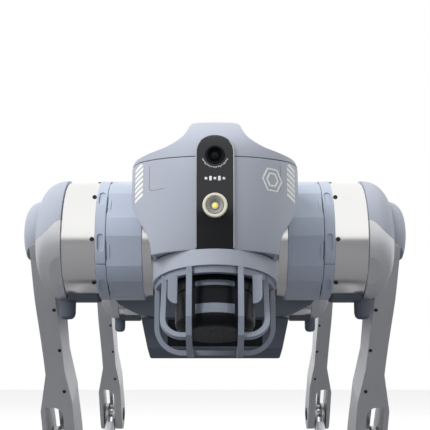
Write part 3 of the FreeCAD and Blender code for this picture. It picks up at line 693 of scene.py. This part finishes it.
def bump_stop(leg):
    """Knob under the motor case that takes the knock when the robot lies down."""
    knob = bmesh.new()
    foot = pitch_spot(leg, 116.6 * MM, 44 * MM, -90)
    outline = [(0, 0), (6.6 * MM, 0), (6.8 * MM, 3 * MM), (6.4 * MM, 4 * MM), (6.4 * MM, 14 * MM),
               (5.6 * MM, 17 * MM), (3.6 * MM, 18.6 * MM), (0, 19 * MM)]
    add_lathe(knob, outline, facing(foot, (0, 0, -1), (0, 1, 0)))
    finish_piece(knob, leg + "_bump_stop", SLATE, leg + "_thigh")


def knee_caps(leg):
    side = leg_side(leg)
    knee = Vector(JOINTS[leg + "_knee"]["pos_m"])
    outline = [(8.5 * MM, -0.6 * MM), (8.5 * MM, 0.5 * MM), (7.8 * MM, 1.1 * MM), (4.4 * MM, 1.1 * MM),
               (4.0 * MM, 0.3 * MM), (0, 0.2 * MM)]
    caps = bmesh.new()
    for x, way in ((152.5, 1), (124.0, -1)):
        place = facing((side * x * MM, knee.y, knee.z), (side * way, 0, 0))
        add_lathe(caps, outline, place, 36)
    finish_piece(caps, leg + "_knee_caps", DARK_STEEL, leg + "_thigh")


def arm_screws(leg):
    """Screws down the front edge of the thigh; each row is a distance from the hip and a half width."""
    hip = Vector(JOINTS[leg + "_thigh_pitch"]["pos_m"])
    down = Vector((0, math.sin(LEAN), -math.cos(LEAN)))
    ahead = Vector((0, -math.cos(LEAN), -math.sin(LEAN)))
    fixings = bmesh.new()
    for distance, half in ((52, 22.0), (96, 17.2), (141, 15.8)):
        place = hip + down * distance * MM + ahead * half * MM
        place.x = leg_side(leg) * 130.0 * MM
        add_screw(fixings, place, ahead, 1.5 * MM, 0.9 * MM)
    finish_piece(fixings, leg + "_arm_screws", DARK_STEEL, leg + "_thigh")


def cap_button(leg):
    """Shallow ring and dimple in the middle of the thigh cover."""
    side = leg_side(leg)
    hip = Vector(JOINTS[leg + "_thigh_pitch"]["pos_m"])
    ring = bmesh.new()
    centre = Vector((side * 151 * MM, hip.y + 1 * MM, hip.z + 4.5 * MM))
    outline = [(11.0 * MM, -0.9 * MM), (10.6 * MM, -0.3 * MM), (9.6 * MM, 0.15 * MM), (8.8 * MM, 0.0),
               (8.4 * MM, -0.5 * MM), (3.4 * MM, -0.5 * MM), (3.0 * MM, -1.1 * MM), (0, -1.2 * MM)]
    add_lathe(ring, outline, facing(centre, (side, 0, 0)), 48)
    finish_piece(ring, leg + "_cap_button", SHELL, leg + "_thigh")


def case_seams(leg):
    """Dark joint lines round the collar and the motor case."""
    side = leg_side(leg)
    hip = Vector(JOINTS[leg + "_thigh_pitch"]["pos_m"])
    seam = bmesh.new()
    steps = 48
    for x, radius, half in ((81.9, 47.0 * MM, 0.5), (89.9, 46.3 * MM, 0.45)):
        inner, outer = radius - 1.5 * MM, radius - 0.15 * MM
        section = ((-half, inner), (-half, outer), (half, outer), (half, inner))
        rings = []
        for k in range(steps):
            turn = math.tau * k / steps
            rings.append([seam.verts.new((side * (x + along) * MM, hip.y - reach * math.cos(turn),
                                          hip.z + reach * math.sin(turn))) for along, reach in section])
        join_rings(seam, rings + rings[:1])
    finish_piece(seam, leg + "_seams", TRIM, leg + "_thigh")


def foot_sleeve(leg):
    """Stepped sleeve that clamps the foot to the calf."""
    knee = Vector(JOINTS[leg + "_knee"]["pos_m"])
    shank = Vector((0, -math.sin(LEAN), -math.cos(LEAN)))
    clamp = bmesh.new()
    middle = Vector((leg_side(leg) * LEG_X, knee.y, knee.z)) + shank * 172 * MM
    outline = [(10.2 * MM, 0), (11.2 * MM, 1 * MM), (11.4 * MM, 6 * MM), (10.6 * MM, 7.4 * MM),
               (11.0 * MM, 8.4 * MM), (12.2 * MM, 12 * MM), (11.8 * MM, 14 * MM)]
    add_lathe(clamp, outline, facing(middle, shank), 32)
    finish_piece(clamp, leg + "_foot_sleeve", SLATE, leg + "_calf")


# ---------------------------------------------------------------- stage


def curved_floor():
    """Pale floor, bright to the eye and duller to the lights, so that metal shows a ground below it."""
    data = bmesh.new()
    bmesh.ops.create_grid(data, x_segments=2, y_segments=2, size=6.0)
    mesh = bpy.data.meshes.new("floor")
    data.to_mesh(mesh)
    data.free()
    material = bpy.data.materials.new("floor_pale")
    material.use_nodes = True
    nodes, links = material.node_tree.nodes, material.node_tree.links
    nodes.clear()
    output = nodes.new("ShaderNodeOutputMaterial")
    path = nodes.new("ShaderNodeLightPath")
    choose = nodes.new("ShaderNodeMixShader")
    seen, felt = nodes.new("ShaderNodeBsdfDiffuse"), nodes.new("ShaderNodeBsdfDiffuse")
    seen.inputs["Color"].default_value = (0.90, 0.90, 0.90, 1)
    felt.inputs["Color"].default_value = (0.23, 0.23, 0.24, 1)
    shine, bright = nodes.new("ShaderNodeEmission"), nodes.new("ShaderNodeAddShader")
    shine.inputs["Color"].default_value = (1, 1, 1, 1)
    shine.inputs["Strength"].default_value = 0.41
    links.new(seen.outputs["BSDF"], bright.inputs[0])
    links.new(shine.outputs["Emission"], bright.inputs[1])
    links.new(path.outputs["Is Camera Ray"], choose.inputs["Fac"])
    links.new(felt.outputs["BSDF"], choose.inputs[1])
    links.new(bright.outputs["Shader"], choose.inputs[2])
    links.new(choose.outputs["Shader"], output.inputs["Surface"])
    mesh.materials.append(material)
    floor = bpy.data.objects.new("floor", mesh)
    bpy.context.scene.collection.objects.link(floor)


def world_light():
    world = bpy.data.worlds.new("studio")
    bpy.context.scene.world = world
    world.use_nodes = True
    nodes, links = world.node_tree.nodes, world.node_tree.links
    nodes.clear()
    output = nodes.new("ShaderNodeOutputWorld")
    coords = nodes.new("ShaderNodeTexCoord")
    split = nodes.new("ShaderNodeSeparateXYZ")
    links.new(coords.outputs["Generated"], split.inputs["Vector"])
    height = nodes.new("ShaderNodeMapRange")
    height.inputs["From Min"].default_value = 0.35
    height.inputs["From Max"].default_value = 0.75
    height.inputs["To Min"].default_value = 0.95
    height.inputs["To Max"].default_value = 0.45
    links.new(split.outputs["Z"], height.inputs["Value"])
    path = nodes.new("ShaderNodeLightPath")
    felt, seen = nodes.new("ShaderNodeBackground"), nodes.new("ShaderNodeBackground")
    links.new(height.outputs["Result"], felt.inputs["Color"])
    felt.inputs["Strength"].default_value = 0.85
    seen.inputs["Color"].default_value = (1, 1, 1, 1)
    seen.inputs["Strength"].default_value = 1.0
    choose = nodes.new("ShaderNodeMixShader")
    links.new(path.outputs["Is Camera Ray"], choose.inputs["Fac"])
    links.new(felt.outputs["Background"], choose.inputs[1])
    links.new(seen.outputs["Background"], choose.inputs[2])
    mirrored = nodes.new("ShaderNodeBackground")
    mirrored.inputs["Color"].default_value = (1, 1, 1, 1)
    mirrored.inputs["Strength"].default_value = 1.05
    pick = nodes.new("ShaderNodeMixShader")
    links.new(path.outputs["Is Glossy Ray"], pick.inputs["Fac"])
    links.new(choose.outputs["Shader"], pick.inputs[1])
    links.new(mirrored.outputs["Background"], pick.inputs[2])
    links.new(pick.outputs["Shader"], output.inputs["Surface"])


def area_light(name, position, target, size, power):
    data = bpy.data.lights.new(name, "AREA")
    data.shape = "SQUARE"
    data.size = size
    data.energy = power
    lamp = bpy.data.objects.new(name, data)
    lamp.matrix_world = facing(position, Vector(position) - Vector(target))
    lamp.visible_glossy = False
    bpy.context.scene.collection.objects.link(lamp)


def studio():
    curved_floor()
    world_light()
    target = (0, MID_Y, 0.3)
    area_light("key", (-1.5, -1.6, 1.7), target, 1.4, 46)
    area_light("fill", (1.9, -1.2, 0.9), target, 1.6, 6)
    area_light("top", (0, 0.2, 2.4), target, 2.2, 26)
    data = bpy.data.cameras.new("camera")
    data.sensor_width = 36.0
    focal_px, frame_px = 874.0, 430.0
    data.lens = focal_px / frame_px * data.sensor_width
    camera = bpy.data.objects.new("camera", data)
    camera.location = (0, MID_Y - 0.889, HIP_Z - 0.090)
    camera.rotation_euler = (math.radians(90 + 9.05), 0, 0)
    bpy.context.scene.collection.objects.link(camera)
    bpy.context.scene.camera = camera
    bpy.context.scene.view_settings.view_transform = "Standard"


studio()
paint_nodes()
cheek_marks()
window_marks()
camera_details()
lamp_details()
window_bezel()
cheek_panel_shadows()
chin_underside()
scanner_painted_shade()
scanner_painted_highlights()
scanner_tabs()
battery_details()
flank_details()
trunk_screws()
housing_grooves()
tail_details()
for each_leg in LEGS:
    case_screws(each_leg)
    case_pad(each_leg)
    bump_stop(each_leg)
    knee_caps(each_leg)
    arm_screws(each_leg)
    cap_button(each_leg)
    case_seams(each_leg)
    foot_sleeve(each_leg)
